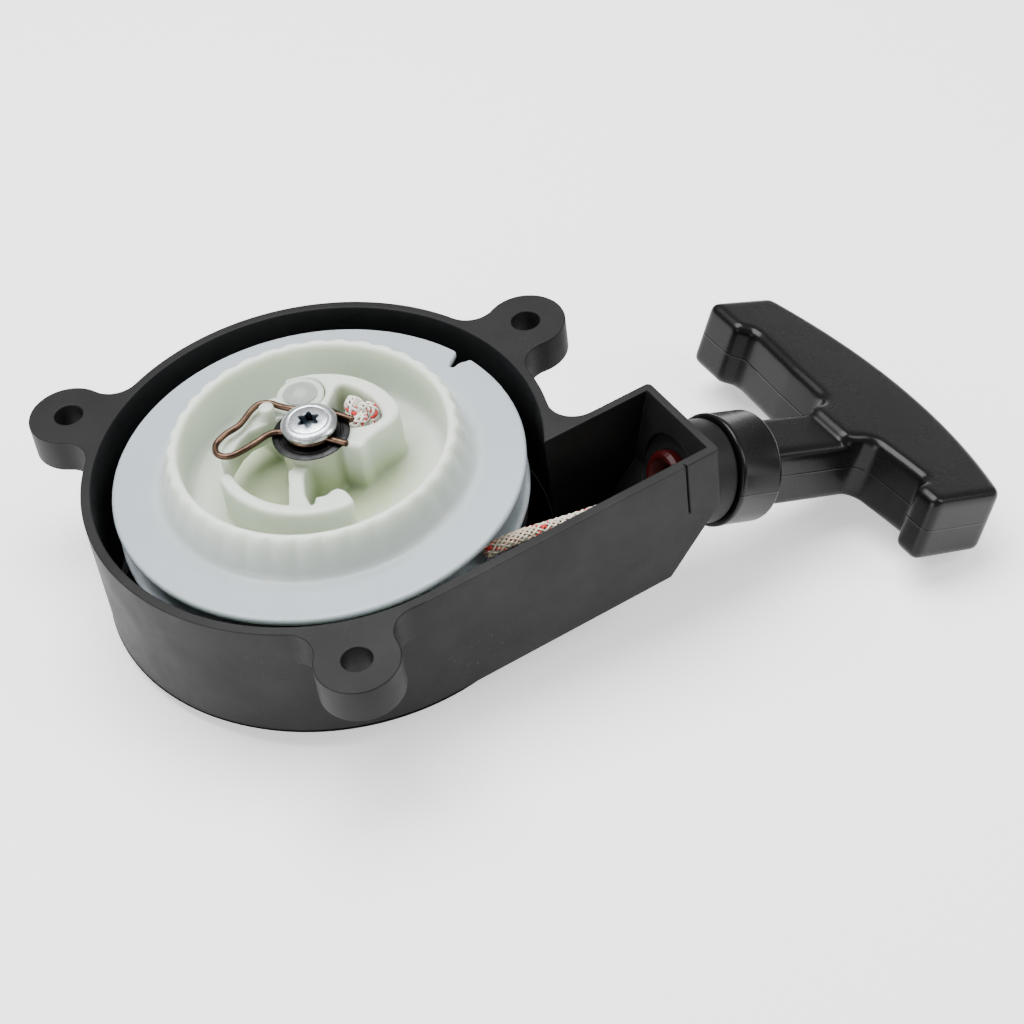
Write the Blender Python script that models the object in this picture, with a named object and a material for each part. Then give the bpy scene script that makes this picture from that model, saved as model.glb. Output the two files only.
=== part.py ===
"""Recoil starter of a small engine: a dished housing with a rope arm, a sprung rotor with a pawl, and a grip.

The frame is in metres. Z runs along the rotor's axle, from the housing's flat back at z = 0 to its open side,
and X points along the rope arm. Lengths below are in millimetres, and MM turns them into metres.
"""

import math

import bmesh
import bpy
from mathutils import Matrix, Vector

MM = 0.001
GAP = 0.3  # left between pieces that touch

# Housing: a round cup with a straight arm beside it.
DEPTH = 32.0
CUP_R = 50.15
WALL = 2.15
FLOOR = 2.5
BACK_FILLET = 3.3
ARM_NEAR_Y = -CUP_R
ARM_FAR_Y = -24.1
ARM_END_X = 68.1
ARM_UNDER_Z = 2.5
ARM_FILLET = 6.0
END_WALL_TOP_X = 66.3
END_WALL_LOW_X = 62.2

# Fixing lugs, evenly spaced round the cup.
LUG_ANGLES = (9.2, 129.2, 249.2)
LUG_PITCH_R = 58.7
LUG_END_R = 8.8
LUG_HOLE_R = 3.1
LUG_DEPTH = 8.2
LUG_PROUD = 0.2
LUG_FILLET = 6.0

# Rope guide: the nozzle leaves the arm's end wall pointing down towards the back.
GUIDE = Vector((68.0, -37.8, 15.7))
GUIDE_PITCH = math.radians(24.0)
NECK_R = 11.3
NECK_END = 4.3
SPIGOT_R = 8.8
SPIGOT_END = 6.5
GUIDE_BORE_R = 2.6

# Rewind spring chamber in the cup's floor.
CHAMBER_R = 33.5
CHAMBER_TOP = 13.2
COVER_R = 43.0
COVER_THICK = 1.5
COVER_SCREW_R = 39.5
COVER_SCREW_ANGLES = (40.0, 160.0, 280.0)

# Axle: a post moulded with the housing, a retaining washer and a screw.
POST_R = 4.6
POST_TOP = 38.3
HUB_BORE_R = 4.7
WASHER_R = 8.2
WASHER_Z = POST_TOP + GAP
WASHER_THICK = 0.6
NECK_RING_R = 4.3
HEAD_Z = 41.0
HEAD_TOP = 42.7
HEAD_R = 5.9

# Rope rotor.
FLANGE_R = 44.1
FLANGE_TOP = 29.3
FLANGE_THICK = 1.8
GROOVE_LOW = 21.0
LOW_FLANGE_THICK = 1.4
CORE_R = 30.2
RING_R = 28.4
RING_TOP = 38.4
WELL_FLOOR = 26.3
WELL_THICK = 1.6
HUB_R = 6.5
ARBOR_R = 8.2
LOBE_R = 19.5
CRESCENT_TOP = 36.3
PLATEAU_TOP = 31.9

# Pawl and its friction clip.
PIVOT = (4.2, 12.9)
PAWL_LOW = 32.2
PAWL_TOP = 38.2
PAWL_EYE_R = 5.1
PAWL_SEAT_R = 5.5
PIN_R = 1.55
PIN_HEAD_R = 3.7
PEG = (-4.5, 11.3)
PEG_R = 1.5
PEG_TOP = 41.5
WIRE_R = 0.62
WIRE_Z = 40.1

# Rope, and the knots that hold its two ends.
ROPE_R = 1.75
WRAP_R = 37.7
ROTOR_KNOT = Vector((10.9, 2.6, 34.7))
ROTOR_KNOT_R = 3.9
GRIP_KNOT = Vector((0.0, 0.0, 53.0))
GRIP_KNOT_R = 2.9
KNOT_HUMP = Vector((0.0, 0.9, 0.6))

# Grip: a cup collar, a stem and a cross bar, in the guide's own axes.
COLLAR_R = 12.3
COLLAR_START = 4.6
COLLAR_END = 16.0
COLLAR_ROUND = 1.2
STEM_HALF = 7.2
STEM_LOW = -7.3
STEM_HIGH = 7.4
BAR_LOW = -6.8
BAR_HIGH = 9.4
BAR_FAR = 51.2
BAR_NEAR = -32.7
BAR_MIDDLE = 9.25
BAR_CROWN = 67.6
END_BLOCK = 40.6
POCKET_R = 4.6
POCKET_FLOOR = 48.0

AROUND = 72


def clear_scene():
    for obj in list(bpy.data.objects):
        bpy.data.objects.remove(obj, do_unlink=True)


def plain_material(name, color, roughness, metallic=0.0):
    material = bpy.data.materials.new(name)
    material.use_nodes = True
    shader = material.node_tree.nodes["Principled BSDF"]
    shader.inputs["Base Color"].default_value = (*color, 1.0)
    shader.inputs["Roughness"].default_value = roughness
    shader.inputs["Metallic"].default_value = metallic
    return material


def finish_object(name, mesh_data, material=None):
    """Turns a bmesh in millimetres into an object; without a material it is a helper for a Boolean."""
    bmesh.ops.recalc_face_normals(mesh_data, faces=mesh_data.faces)
    bmesh.ops.scale(mesh_data, vec=(MM, MM, MM), verts=mesh_data.verts)
    mesh = bpy.data.meshes.new(name)
    mesh_data.to_mesh(mesh)
    mesh_data.free()
    mesh.shade_smooth()
    mesh.set_sharp_from_angle(angle=math.radians(35))
    obj = bpy.data.objects.new(name, mesh)
    bpy.context.scene.collection.objects.link(obj)
    if material:
        mesh.materials.append(material)
    else:
        obj.hide_render = True
        obj.display_type = "WIRE"
    return obj


def lathe(name, profile, material=None, steps=AROUND):
    """Turns a closed outline of (radius, height) points about Z."""
    data = bmesh.new()
    rings = []
    for radius, height in profile:
        if radius < 1e-6:
            rings.append([data.verts.new((0.0, 0.0, height))])
            continue
        turns = [2 * math.pi * step / steps for step in range(steps)]
        around = [(radius * math.cos(turn), radius * math.sin(turn), height) for turn in turns]
        rings.append([data.verts.new(place) for place in around])
    for low, high in zip(rings, rings[1:] + rings[:1]):
        if len(low) == 1 and len(high) == 1:
            continue
        for step in range(steps):
            after = (step + 1) % steps
            here, there = step % len(low), after % len(low)
            corners = [low[here], low[there], high[after % len(high)], high[step % len(high)]]
            data.faces.new(list(dict.fromkeys(corners)))
    return finish_object(name, data, material)


def prism(name, outline, low, high, material=None):
    """Raises a closed outline of (x, y) points from low to high."""
    data = bmesh.new()
    bottom = [data.verts.new((x, y, low)) for x, y in outline]
    face = data.faces.new(bottom)
    raised = bmesh.ops.extrude_face_region(data, geom=[face])["geom"]
    top = [item for item in raised if isinstance(item, bmesh.types.BMVert)]
    bmesh.ops.translate(data, vec=(0.0, 0.0, high - low), verts=top)
    return finish_object(name, data, material)


def cylinder(name, radius, low, high, at=(0.0, 0.0), steps=32):
    obj = lathe(name, [(0.0, low), (radius, low), (radius, high), (0.0, high)], None, steps)
    obj.data.transform(Matrix.Translation((at[0] * MM, at[1] * MM, 0.0)))
    return obj


def box(name, low, high):
    outline = [(low[0], low[1]), (high[0], low[1]), (high[0], high[1]), (low[0], high[1])]
    return prism(name, outline, low[2], high[2])


def arc(centre, radius, start, end, steps):
    """Points on a circle from start to end, in degrees, both ends included."""
    angles = [math.radians(start + (end - start) * step / steps) for step in range(steps + 1)]
    return [(centre[0] + radius * math.cos(a), centre[1] + radius * math.sin(a)) for a in angles]


def smooth_path(points, per_span):
    """Catmull-Rom curve through the points."""
    ends = [points[0] * 2 - points[1], *points, points[-1] * 2 - points[-2]]
    path = []
    for before, start, end, after in zip(ends, ends[1:], ends[2:], ends[3:]):
        for step in range(per_span):
            t = step / per_span
            bend = (2 * before - 5 * start + 4 * end - after) * t**2
            twist = (3 * start - before - 3 * end + after) * t**3
            path.append((2 * start + (end - before) * t + bend + twist) / 2)
    return [*path, points[-1]]


def tube(name, points, radius, material):
    """A round rod along the points."""
    curve = bpy.data.curves.new(name, "CURVE")
    curve.dimensions = "3D"
    curve.bevel_depth = radius * MM
    curve.bevel_resolution = 2
    curve.use_fill_caps = True
    spline = curve.splines.new("POLY")
    spline.points.add(len(points) - 1)
    for point, place in zip(spline.points, points):
        point.co = (place[0] * MM, place[1] * MM, place[2] * MM, 1.0)
    curve.materials.append(material)
    bpy.context.scene.collection.objects.link(bpy.data.objects.new(name, curve))


def combine(obj, operation, helpers):
    """Joins or cuts all the helpers in one step."""
    group = bpy.data.collections.new(f"{obj.name}_{operation.lower()}")
    for helper in helpers:
        group.objects.link(helper)
    modifier = obj.modifiers.new(group.name, "BOOLEAN")
    modifier.operation = operation
    modifier.operand_type = "COLLECTION"
    modifier.collection = group
    modifier.solver = "EXACT"


def polar(radius, degrees):
    angle = math.radians(degrees)
    return (radius * math.cos(angle), radius * math.sin(angle))


def guide_frame():
    """The rope guide's axes: Z runs out along the nozzle, X is the part's +Y, and Y is up across the grip."""
    out = Vector((math.cos(GUIDE_PITCH), 0.0, -math.sin(GUIDE_PITCH)))
    side = Vector((0.0, 1.0, 0.0))
    up = out.cross(side)
    turn = Matrix((side, up, out)).transposed().to_4x4()
    return Matrix.Translation(GUIDE * MM) @ turn


def on_guide(obj):
    obj.data.transform(guide_frame())
    return obj


def place_all(pieces, matrix):
    for piece in pieces:
        piece.data.transform(matrix)


def set_origin(names, place):
    """Puts each piece's origin on the axis that it moves about or along."""
    for name in names:
        piece = bpy.data.objects[name]
        piece.data.transform(Matrix.Translation(place * -MM))
        piece.location = place * MM


def housing_outline():
    """The cup's circle, run out into the arm and back round a fillet."""
    centre_y = ARM_FAR_Y + ARM_FILLET
    centre_x = math.sqrt((CUP_R + ARM_FILLET) ** 2 - centre_y**2)
    tangent = math.degrees(math.atan2(centre_y, centre_x))
    corner = 1.2
    outline = arc((0.0, 0.0), CUP_R, tangent, 270.0, 60)
    outline += arc((ARM_END_X - corner, ARM_NEAR_Y + corner), corner, -90.0, 0.0, 4)
    outline += arc((ARM_END_X - corner, ARM_FAR_Y - corner), corner, 0.0, 90.0, 4)
    return outline + arc((centre_x, centre_y), ARM_FILLET, -90.0, tangent - 180.0, 5)[:-1]


def lug_outline(angle):
    """A round end with a concave fillet on each side, running into the cup's wall."""
    side = CUP_R + LUG_FILLET
    reach = LUG_END_R + LUG_FILLET
    spread = math.acos((LUG_PITCH_R**2 + side**2 - reach**2) / (2 * LUG_PITCH_R * side))
    centre = (side * math.cos(spread), side * math.sin(spread))
    end_turn = math.degrees(math.atan2(centre[1], centre[0] - LUG_PITCH_R))
    wall_turn = math.degrees(spread)
    half = arc((LUG_PITCH_R, 0.0), LUG_END_R, 0.0, end_turn, 7)
    half += arc(centre, LUG_FILLET, end_turn - 180.0, wall_turn - 180.0, 4)[1:]
    half.append(polar(CUP_R - WALL / 2, wall_turn - 1.0))
    outline = half + [(x, -y) for x, y in reversed(half[1:])]
    turn = math.radians(angle)
    cos, sin = math.cos(turn), math.sin(turn)
    return [(x * cos - y * sin, x * sin + y * cos) for x, y in outline]


def side_prism(name, outline, low_y, high_y):
    """Raises an outline of (x, z) points along Y."""
    obj = prism(name, [(x, -z) for x, z in outline], low_y, high_y)
    obj.data.transform(Matrix.Rotation(math.radians(-90.0), 4, "X"))
    return obj


def fillet_profile(radius, depth, fillet):
    return [(0.0, 0.0), *arc((radius - fillet, fillet), fillet, -90.0, 0.0, 4), (radius, depth), (0.0, depth)]


def make_housing(material):
    housing = prism("starter_housing", housing_outline(), ARM_UNDER_Z, DEPTH, material)
    back = lathe("back_dish", fillet_profile(CUP_R - 0.05, 6.0, BACK_FILLET))
    lugs = [
        prism(f"lug_{index}", lug_outline(angle), DEPTH - LUG_DEPTH, DEPTH + LUG_PROUD)
        for index, angle in enumerate(LUG_ANGLES)
    ]
    combine(housing, "UNION", [back, *lugs])

    slope = side_prism("arm_slope", [(54.0, 2.0), (54.0, 2.5), (72.0, 21.3), (72.0, 2.0)], -52.0, -22.0)
    cup_room = cylinder("cup_room", CUP_R - WALL, FLOOR, DEPTH + 5.0, steps=AROUND)
    room = [(0.0, 5.0), (52.8, 5.0), (END_WALL_LOW_X, 14.8), (END_WALL_LOW_X, 16.0)]
    room += [(END_WALL_TOP_X + 0.5, DEPTH + 2.0), (0.0, DEPTH + 2.0)]
    arm_room = side_prism("arm_room", room, ARM_NEAR_Y + 2.25, ARM_FAR_Y - 1.9)
    guide_room = on_guide(cylinder("guide_room", NECK_R - 2.3, -12.0, 1.5, steps=28))
    slit = box("wall_slit", (59.5, -52.0, 18.4), (60.1, -49.5, 40.0))
    lug_holes = [
        cylinder(f"lug_hole_{index}", LUG_HOLE_R, 10.0, DEPTH + 5.0, polar(LUG_PITCH_R, angle), steps=24)
        for index, angle in enumerate(LUG_ANGLES)
    ]
    combine(housing, "DIFFERENCE", [slope, cup_room, arm_room, guide_room, slit, *lug_holes])

    outer = CHAMBER_R + 2.0
    wall = [(CHAMBER_R, 1.5), (outer, 1.5), (outer, CHAMBER_TOP), (CHAMBER_R, CHAMBER_TOP)]
    chamber = lathe("chamber_wall", wall, steps=48)
    bored = [(0.0, 1.5), (POST_R, 1.5), (POST_R, POST_TOP), (2.3, POST_TOP), (2.3, 21.0), (0.0, 21.0)]
    post = lathe("axle_post", bored, steps=32)
    fittings = [chamber, post]
    boss_top = CHAMBER_TOP - 0.1
    for index, angle in enumerate(COVER_SCREW_ANGLES):
        bored = [(0.0, 1.5), (3.6, 1.5), (3.6, boss_top), (1.4, boss_top), (1.4, 5.0), (0.0, 5.0)]
        boss = lathe(f"cover_boss_{index}", bored, steps=16)
        boss.data.transform(Matrix.Translation((COVER_SCREW_R * MM, 0.0, 0.0)))
        bridge = box(f"boss_bridge_{index}", (34.5, -1.2, 1.2), (COVER_SCREW_R - 2.0, 1.2, CHAMBER_TOP - 1.0))
        place_all([boss, bridge], Matrix.Rotation(math.radians(angle), 4, "Z"))
        fittings += [boss, bridge]
    guide = [(3.9, -5.0), (NECK_R, -5.0), (NECK_R, NECK_END), (SPIGOT_R, NECK_END), (SPIGOT_R, SPIGOT_END)]
    guide += [(GUIDE_BORE_R, SPIGOT_END), (GUIDE_BORE_R, -0.8), (3.9, -0.8)]
    fittings.append(on_guide(lathe("guide_neck", guide, steps=36)))
    combine(housing, "UNION", fittings)


def make_spring_cover(material):
    bottom = CHAMBER_TOP + GAP
    top = bottom + COVER_THICK
    bore = ARBOR_R + 0.8
    plate = [(bore, bottom), (COVER_R, bottom), (COVER_R, top), (bore, top)]
    cover = lathe("spring_cover", plate, material, 48)
    holes = [
        cylinder(f"cover_pass_{index}", 1.9, 10.0, 20.0, polar(COVER_SCREW_R, angle), steps=16)
        for index, angle in enumerate(COVER_SCREW_ANGLES)
    ]
    combine(cover, "DIFFERENCE", holes)


def make_cover_screws(material):
    seat = CHAMBER_TOP + GAP + COVER_THICK + GAP
    for index, angle in enumerate(COVER_SCREW_ANGLES):
        profile = [(0.0, 6.0), (1.1, 6.8), (1.1, seat), (2.8, seat), (2.8, seat + 0.9), (2.2, seat + 1.7)]
        profile += [(1.5, seat + 1.7), (1.5, seat + 0.8), (0.0, seat + 0.8)]
        screw = lathe(f"cover_screw_{index + 1}", profile, material, 16)
        x, y = polar(COVER_SCREW_R, angle)
        screw.data.transform(Matrix.Translation((x * MM, y * MM, 0.0)))


def make_rewind_spring(material):
    """A flat strip wound against the chamber's wall, then swept in to lie round the arbor."""
    turns, per_turn, thick = 6.5, 20, 0.5
    pitch = 1.25
    outer = CHAMBER_R - 1.6
    count = int(turns * per_turn)
    spine = [polar(outer - pitch * step / per_turn, -360.0 * step / per_turn) for step in range(count + 1)]
    last_r = outer - pitch * turns
    inner_r = ARBOR_R + 1.2
    sweep = 24
    for step in range(1, sweep + 1):
        share = step / sweep
        ease = share * share * (3 - 2 * share)
        spine.append(polar(last_r + (inner_r - last_r) * ease, -360.0 * turns - 400.0 * share))
    left, right = [], []
    for index, point in enumerate(spine):
        before, after = spine[max(index - 1, 0)], spine[min(index + 1, len(spine) - 1)]
        along = Vector((after[0] - before[0], after[1] - before[1])).normalized()
        left.append((point[0] - along.y * thick / 2, point[1] + along.x * thick / 2))
        right.append((point[0] + along.y * thick / 2, point[1] - along.x * thick / 2))
    data = bmesh.new()
    loops = [
        [data.verts.new((x, y, z)) for x, y in side]
        for side, z in ((left, 3.2), (right, 3.2), (right, 12.6), (left, 12.6))
    ]
    for low, high in zip(loops, loops[1:] + loops[:1]):
        for step in range(len(spine) - 1):
            data.faces.new((low[step], low[step + 1], high[step + 1], high[step]))
    data.faces.new([loop[0] for loop in loops])
    data.faces.new([loop[-1] for loop in reversed(loops)])
    finish_object("rewind_spring", data, material)


def make_axle(washer_dark, plated):
    low = 3.2 - GAP
    ring = [(POST_R + GAP, low), (ARBOR_R, low), (ARBOR_R, low + 0.7), (POST_R + GAP, low + 0.7)]
    lathe("thrust_washer", ring, washer_dark, 32)

    disc_top = WASHER_Z + WASHER_THICK
    neck_top = HEAD_Z - GAP
    stepped = [(2.3, WASHER_Z), (WASHER_R, WASHER_Z), (WASHER_R, disc_top), (NECK_RING_R, disc_top)]
    stepped += [(NECK_RING_R, neck_top), (2.3, neck_top)]
    lathe("retaining_washer", stepped, washer_dark, 40)

    profile = [(0.0, 22.0), (1.4, 22.8), (2.0, 23.6), (2.0, HEAD_Z), (HEAD_R, HEAD_Z), (HEAD_R, HEAD_Z + 0.9)]
    profile += [(HEAD_R - 0.9, HEAD_TOP), (0.0, HEAD_TOP)]
    screw = lathe("axle_screw", profile, plated, 32)
    lobes = []
    for step in range(36):
        angle = 2 * math.pi * (step + 0.3) / 36
        radius = 1.95 + 0.35 * math.cos(6 * angle)
        lobes.append((radius * math.cos(angle), radius * math.sin(angle)))
    combine(screw, "DIFFERENCE", [prism("drive_socket", lobes, HEAD_TOP - 1.3, HEAD_TOP + 1.0)])


def make_eyelet(material):
    hole = GUIDE_BORE_R
    profile = [(hole, -1.1), (hole, -5.4), (hole + 0.3, -6.4), (hole + 0.8, -7.4), (hole + 1.4, -8.0)]
    profile += [(4.7, -8.0), (5.5, -7.2), (5.5, -5.3), (3.6, -5.3), (3.6, -1.1)]
    on_guide(lathe("rope_eyelet", profile, material, 28))


def rotor_profile():
    under = WELL_FLOOR - WELL_THICK
    low = GROOVE_LOW - LOW_FLANGE_THICK
    groove_top = FLANGE_TOP - FLANGE_THICK
    inner = CORE_R - 2.0
    outline = [(HUB_BORE_R, 4.0), (ARBOR_R, 4.0), (ARBOR_R, under), (inner, under), (inner, low)]
    outline += [(FLANGE_R, low), (FLANGE_R, GROOVE_LOW), (CORE_R, GROOVE_LOW), (CORE_R, groove_top)]
    outline += [(FLANGE_R, groove_top), (FLANGE_R, FLANGE_TOP), (33.0, FLANGE_TOP), (30.3, RING_TOP - 0.8)]
    outline += [(29.8, RING_TOP), (RING_R, RING_TOP), (RING_R - 0.4, WELL_FLOOR), (HUB_R, WELL_FLOOR)]
    return outline + [(HUB_R, POST_TOP), (HUB_BORE_R, POST_TOP)]


def make_rotor(material):
    rotor = lathe("rope_rotor", rotor_profile(), material)
    root = WELL_FLOOR - 1.0

    lobe = arc((0.0, 0.0), LOBE_R, -19.5, 80.0, 16) + arc((0.0, 0.0), 5.6, 58.0, -62.0, 6)
    lobe += [(6.8, -9.8), (11.8, -7.4)]
    drive_lobe = prism("drive_lobe", lobe, root, RING_TOP)

    ledge = arc((0.0, 0.0), 17.6, 60.0, 108.0, 7) + arc((0.0, 0.0), 5.6, 120.0, 50.0, 4)
    pawl_ledge = prism("pawl_ledge", ledge, root, PLATEAU_TOP)

    crescent = arc((0.0, 0.0), 21.2, 170.0, 264.0, 14)
    crescent += [(-1.6, -19.6), (-1.3, -17.3), (-2.1, -15.3), (-3.4, -14.7), (-5.1, -15.2), (-7.0, -14.5)]
    crescent += [(-7.8, -16.4)]
    crescent += arc((0.0, 0.0), 18.4, 243.0, 170.0, 11)
    crescent_wall = prism("crescent_wall", crescent, root, CRESCENT_TOP)

    rib = [(-8.2, -3.9), (-12.6, -13.6), (-9.2, -16.2), (-8.5, -11.9), (-5.5, -6.0), (-3.0, -5.2)]
    rib += [(-5.2, -3.0)]
    brace = prism("crescent_rib", rib, root, CRESCENT_TOP - 0.6)
    combine(rotor, "UNION", [drive_lobe, pawl_ledge, crescent_wall, brace])

    pocket = [(12.6, 10.4), (10.0, 9.0), (6.4, 5.9), (6.9, -1.2), (10.5, -4.2), (14.6, -4.6), (15.9, -1.5)]
    pocket += [(15.2, 6.0)]
    knot_pocket = prism("knot_pocket", pocket, 30.5, 45.0)
    pawl_seat = cylinder("pawl_seat", PAWL_SEAT_R, PLATEAU_TOP, 45.0, PIVOT, steps=24)
    pin_hole = cylinder("pin_hole", PIN_R + GAP, 28.6, 45.0, PIVOT, steps=16)
    rope_drop = cylinder("rope_drop", 1.9, 15.0, 31.0, (12.6, -1.0), steps=14)
    rope_way = tube_cutter("rope_passage", (24.0, -6.0), (33.5, -8.4), 22.85, 1.7)
    notch = [(46.0, 15.6), (42.1, 14.3), (41.8, 12.9), (38.4, 10.3), (39.0, 9.0), (41.4, 9.2), (46.0, 8.4)]
    flange_notch = prism("flange_notch", notch, FLANGE_TOP - FLANGE_THICK - 1.0, FLANGE_TOP + 3.0)
    spring_catch = box("spring_catch", (6.6, -1.0, 2.0), (10.0, 1.0, 12.9))
    combine(rotor, "DIFFERENCE", [knot_pocket, rope_drop, pawl_seat, pin_hole, rope_way])
    combine(rotor, "DIFFERENCE", [flange_notch, spring_catch])


def tube_cutter(name, start, end, height, radius):
    """A level round cutter between two points of the rotor's plane."""
    along = Vector((end[0] - start[0], end[1] - start[1], 0.0))
    cutter = cylinder(name, radius, 0.0, along.length, steps=14)
    turn = along.to_track_quat("Z", "Y").to_matrix().to_4x4()
    cutter.data.transform(Matrix.Translation((start[0] * MM, start[1] * MM, height * MM)) @ turn)
    return cutter


def make_pawl(material):
    outline = arc(PIVOT, PAWL_EYE_R, -72.0, 152.0, 18)
    outline += [(-2.0, 15.9), (-4.0, 15.7), (-8.0, 14.6), (-11.5, 13.0), (-14.5, 10.9), (-17.0, 8.2)]
    outline += [(-18.7, 5.2), (-17.4, 4.2), (-15.6, 6.0), (-13.0, 8.0), (-10.0, 9.3), (-6.5, 9.7)]
    outline += [(-2.0, 9.2), (2.0, 8.6)]
    pawl = prism("pawl", outline, PAWL_LOW, PAWL_TOP, material)
    combine(pawl, "UNION", [cylinder("clip_peg", PEG_R, PAWL_TOP - 2.0, PEG_TOP, PEG, steps=16)])
    combine(pawl, "DIFFERENCE", [cylinder("pawl_bore", PIN_R + 0.1, 20.0, 45.0, PIVOT, steps=24)])


def make_pivot_pin(material):
    head = PAWL_TOP + GAP
    profile = [(0.0, 29.0), (PIN_R, 29.0), (PIN_R, head), (PIN_HEAD_R, head), (PIN_HEAD_R, head + 0.5)]
    pin = lathe("pawl_pivot_pin", [*profile, (0.0, head + 0.5)], material, 24)
    pin.data.transform(Matrix.Translation((PIVOT[0] * MM, PIVOT[1] * MM, 0.0)))


def make_clip(material):
    """Sprung wire: a strand outside the peg, a loop, and a bend that grips the axle's neck."""
    strand = [(8.7, -1.8), (4.6, 3.6), (0.1, 9.5), (-2.4, 12.2), (-4.4, 14.2), (-6.4, 14.3), (-9.6, 12.7)]
    strand += [(-13.2, 11.0), (-16.6, 9.8), (-18.6, 8.2), (-19.2, 6.1), (-18.2, 4.3), (-16.4, 3.8)]
    strand += [(-10.6, 4.2), (-7.2, 4.7), (-5.4, 4.2)]
    hug = arc((0.0, 0.0), NECK_RING_R + WIRE_R + 0.15, 158.0, 300.0, 12)
    tail = [(3.1, -5.9), (4.3, -7.8)]
    places = [Vector((x, y, WIRE_Z)) for x, y in strand + hug + tail]
    tube("friction_clip", smooth_path(places, 2), WIRE_R, material)


def make_rope(material):
    ring = [(CORE_R + GAP, GROOVE_LOW + GAP), (WRAP_R + ROPE_R, GROOVE_LOW + GAP)]
    top = FLANGE_TOP - FLANGE_THICK - GAP
    ring += [(WRAP_R + ROPE_R, top), (CORE_R + GAP, top)]
    lathe("rope_coil", ring, material, 60)

    y = GUIDE.y
    out = guide_frame().to_3x3() @ Vector((0.0, 0.0, 1.0))
    up = guide_frame().to_3x3() @ Vector((0.0, 1.0, 0.0))
    route = [Vector((x, y, z)) for x, z in ((17.6, 23.3), (23.0, 22.95), (30.0, 22.0), (46.0, 19.75))]
    bend = [(-10.0, 1.87), (-8.0, 1.32), (-6.0, 0.77), (-4.2, 0.3), (-2.5, 0.02), (0.0, 0.0), (6.0, 0.0)]
    route += [GUIDE + out * along - up * drop for along, drop in bend]
    tube("rope_run", smooth_path(route, 4), ROPE_R, material)
    tube("rope_tail", [GUIDE + out * along for along in (6.3, 20.0, 35.0, 49.7)], ROPE_R, material)


def make_knot(name, material, radius):
    """A rounded knot, its two humps set across each other."""
    ball = [(0.0, -radius), *arc((0.0, 0.0), radius, -75.0, 75.0, 6), (0.0, radius)]
    smaller = [(0.0, -radius), *arc((0.0, 0.0), radius, -70.0, 70.0, 5), (0.0, radius)]
    knot = lathe(name, ball, material, 14)
    hump = lathe(f"{name}_hump", smaller, None, 12)
    hump.data.transform(Matrix.Translation(KNOT_HUMP * MM))
    combine(knot, "UNION", [hump])
    return [knot, hump]


def bar_outline():
    """The cross bar seen along its thickness: a bowed outer face, end blocks and fillets into the stem."""
    outer = []
    for step in range(15):
        side = BAR_FAR + (BAR_NEAR - BAR_FAR) * step / 14
        from_middle = side - BAR_MIDDLE
        outer.append((side, BAR_CROWN - 0.0044 * from_middle**2 - 0.016 * from_middle))
    near_block = [(BAR_NEAR, END_BLOCK), (-27.0, END_BLOCK), (-25.4, 42.2)]
    near_face = [(-24.2, 44.3), (-22.0, 44.7), *arc((-10.2, 40.4), 3.0, 90.0, 0.0, 3)]
    far_face = [*arc((10.2, 39.6), 3.0, 180.0, 90.0, 3), (22.0, 42.9), (36.0, 43.9), (38.2, 43.2)]
    far_block = [(39.6, 41.6), (40.9, END_BLOCK), (BAR_FAR, END_BLOCK)]
    return outer + near_block + near_face + [(-6.4, 38.0), (6.4, 38.0)] + far_face + far_block


def bevelled(obj, width, segments):
    bevel = obj.modifiers.new("rounded_edges", "BEVEL")
    bevel.width = width * MM
    bevel.segments = segments
    bevel.limit_method = "ANGLE"
    bevel.angle_limit = math.radians(40)
    return obj


def make_grip(material):
    """Moulded lying along Z, then turned into the guide's axes."""
    bar = prism("grip_body", bar_outline(), BAR_LOW, BAR_HIGH, material)
    bevelled(bar, 2.0, 2)
    bar.data.transform(Matrix(((1, 0, 0, 0), (0, 0, 1, 0), (0, 1, 0, 0), (0, 0, 0, 1))))
    bar.data.flip_normals()
    on_guide(bar)
    stem = box("grip_stem", (-STEM_HALF, STEM_LOW, 13.0), (STEM_HALF, STEM_HIGH, 50.0))
    on_guide(bevelled(stem, 2.6, 3))
    profile = [(0.0, COLLAR_START), (COLLAR_R, COLLAR_START)]
    round_at = (COLLAR_R - COLLAR_ROUND, COLLAR_END - COLLAR_ROUND)
    profile += [*arc(round_at, COLLAR_ROUND, 0.0, 90.0, 3), (0.0, COLLAR_END)]
    collar = on_guide(lathe("grip_collar", profile, None, 40))
    combine(bar, "UNION", [stem, collar])
    cavity = on_guide(cylinder("collar_hollow", 10.0, 0.0, 10.5, steps=32))
    rope_way = on_guide(cylinder("grip_rope_hole", 2.1, 5.0, 60.0, steps=16))
    pocket = on_guide(cylinder("grip_knot_pocket", POCKET_R, POCKET_FLOOR, 80.0, steps=24))
    combine(bar, "DIFFERENCE", [cavity, rope_way, pocket])


def make_grip_inserts(plated, rope, dark):
    low = POCKET_FLOOR + GAP
    ring = [(2.05, low), (POCKET_R - GAP, low), (POCKET_R - GAP, low + 1.1), (2.05, low + 1.1)]
    on_guide(lathe("grip_washer", ring, plated, 24))
    place_all(make_knot("grip_knot", rope, GRIP_KNOT_R), guide_frame() @ Matrix.Translation(GRIP_KNOT * MM))
    radius = POCKET_R - GAP
    top = BAR_CROWN - 0.7
    cap = [(0.0, 60.5), (radius, 60.5), (radius, top - 0.6), (radius - 0.8, top), (0.0, top)]
    on_guide(lathe("grip_plug", cap, dark, 24))


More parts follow.
